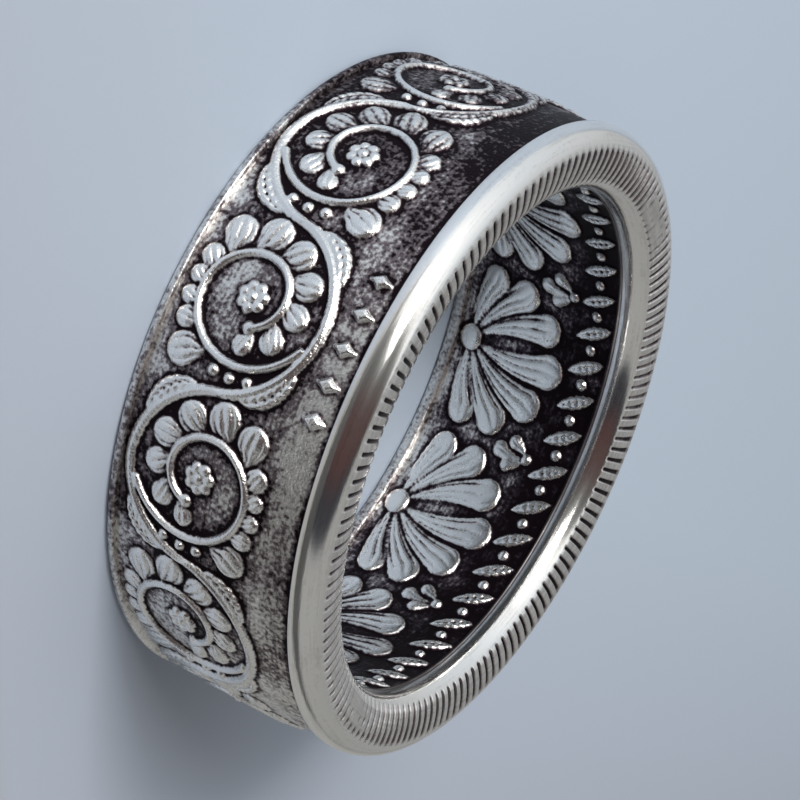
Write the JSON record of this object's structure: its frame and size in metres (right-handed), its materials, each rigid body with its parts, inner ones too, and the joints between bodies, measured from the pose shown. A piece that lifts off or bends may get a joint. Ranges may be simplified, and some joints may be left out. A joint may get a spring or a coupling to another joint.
{
  "type": "coin ring",
  "caption": "Wide silver band ring folded from a coin, with a reeded front edge, smooth rims and raised ornament outside and inside.",
  "frame": {"origin": "middle of the footprint, on the surface that the ring lies on", "axes": "+Z along the ring's axis, towards its reeded front face"},
  "size_m": [0.0238, 0.024, 0.0085],
  "materials": {
    "silver": "polished silver with darkened recesses"
  },
  "bodies": {
    "root": {"ring_band": "silver"}
  },
  "joints": []
}
